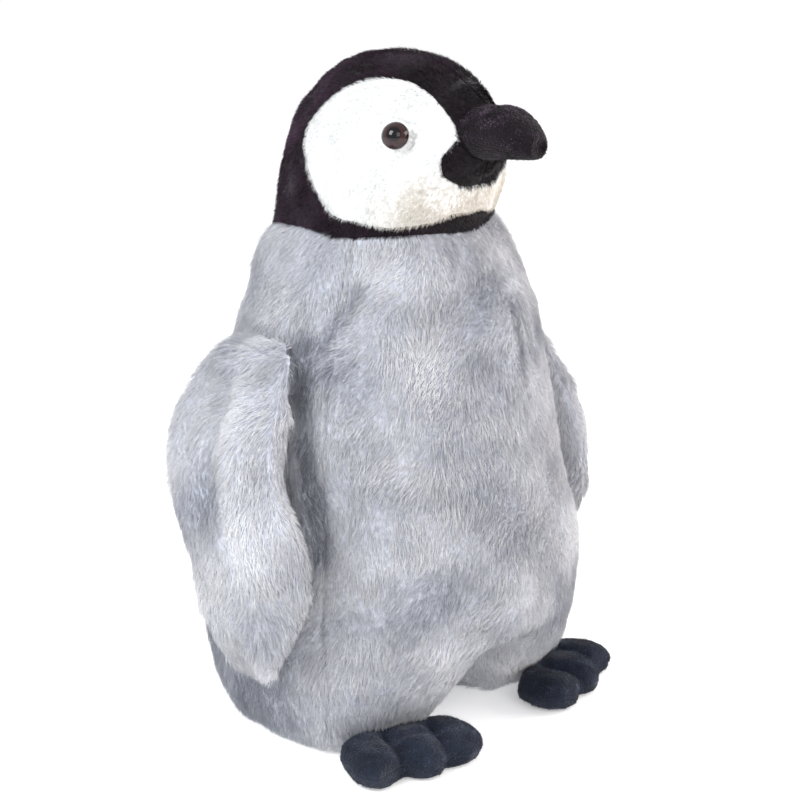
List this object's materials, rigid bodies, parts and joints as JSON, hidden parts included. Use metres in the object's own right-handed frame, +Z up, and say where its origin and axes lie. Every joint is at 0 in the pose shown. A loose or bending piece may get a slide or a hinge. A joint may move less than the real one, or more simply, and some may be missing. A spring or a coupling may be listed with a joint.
{
  "type": "plush penguin chick",
  "caption": "Stuffed penguin chick with a weighted base, plastic eyes, a hooked beak, two hanging flippers, two toed feet and a short tail.",
  "frame": {"origin": "on the flat underside of the base panel, on the toy's middle plane and under the widest part of its body", "axes": "+Z up, -Y towards the belly and beak, +X towards the toy's own left flipper"},
  "size_m": [0.2426, 0.2091, 0.3259],
  "materials": {
    "grey_pile": "matte",
    "base_cloth": "matte",
    "filling": "matte",
    "pouch_cloth": "matte",
    "pellets": "matte",
    "black_pile": "matte",
    "white_pile": "matte",
    "eye_lens": "gloss",
    "eye_post": "satin",
    "eye_washer": "satin",
    "beak_fleece": "matte",
    "foot_fleece": "matte",
    "label_ribbon": "satin"
  },
  "bodies": {
    "torso": {"belly_panel": "grey_pile", "back_panel_left": "grey_pile", "back_panel_right": "grey_pile", "base_panel": "base_cloth", "body_stuffing": "filling", "head_stuffing": "filling", "beak_stuffing": "filling", "pellet_pouch_top": "pouch_cloth", "pellet_pouch_bottom": "pouch_cloth", "pellet_fill": "pellets", "hood_left": "black_pile", "hood_right": "black_pile", "chin_left": "black_pile", "chin_right": "black_pile", "cheek_left": "white_pile", "cheek_right": "white_pile", "eye_lens_left": "eye_lens", "eye_lens_right": "eye_lens", "eye_post_left": "eye_post", "eye_post_right": "eye_post", "eye_washer_left": "eye_washer", "eye_washer_right": "eye_washer", "beak_left": "beak_fleece", "beak_right": "beak_fleece", "beak_under": "beak_fleece", "care_label": "label_ribbon"},
    "flipper_left": {"flipper_left_outer": "grey_pile", "flipper_left_inner": "grey_pile", "flipper_left_fill": "filling"},
    "flipper_right": {"flipper_right_outer": "grey_pile", "flipper_right_inner": "grey_pile", "flipper_right_fill": "filling"},
    "foot_left": {"foot_left_fill": "filling", "foot_left_upper": "foot_fleece", "foot_left_sole": "foot_fleece"},
    "foot_right": {"foot_right_fill": "filling", "foot_right_upper": "foot_fleece", "foot_right_sole": "foot_fleece"},
    "tail": {"tail_upper": "grey_pile", "tail_under": "grey_pile", "tail_fill": "filling"}
  },
  "joints": [
    {"name": "flipper_left_lift", "type": "hinge", "parent": "torso", "child": "flipper_left", "pos_m": [0.08245, 0.013, 0.1965], "axis": [0, -1, 0], "range_deg": [0, 70], "stiffness_Nm_per_rad": 0.02},
    {"name": "flipper_right_lift", "type": "hinge", "parent": "torso", "child": "flipper_right", "pos_m": [-0.08245, 0.013, 0.1965], "axis": [0, 1, 0], "range_deg": [0, 70], "stiffness_Nm_per_rad": 0.02},
    {"name": "foot_left_flex", "type": "hinge", "parent": "torso", "child": "foot_left", "pos_m": [0.057, -0.05, 0.015], "axis": [-0.9135, -0.4067, 0], "range_deg": [0, 20], "stiffness_Nm_per_rad": 0.1},
    {"name": "foot_right_flex", "type": "hinge", "parent": "torso", "child": "foot_right", "pos_m": [-0.057, -0.05, 0.015], "axis": [-0.9135, 0.4067, 0], "range_deg": [0, 20], "stiffness_Nm_per_rad": 0.1},
    {"name": "tail_flex", "type": "hinge", "parent": "torso", "child": "tail", "pos_m": [0, 0.1011, 0.03], "axis": [1, 0, 0], "range_deg": [-10, 25], "stiffness_Nm_per_rad": 0.03}
  ]
}
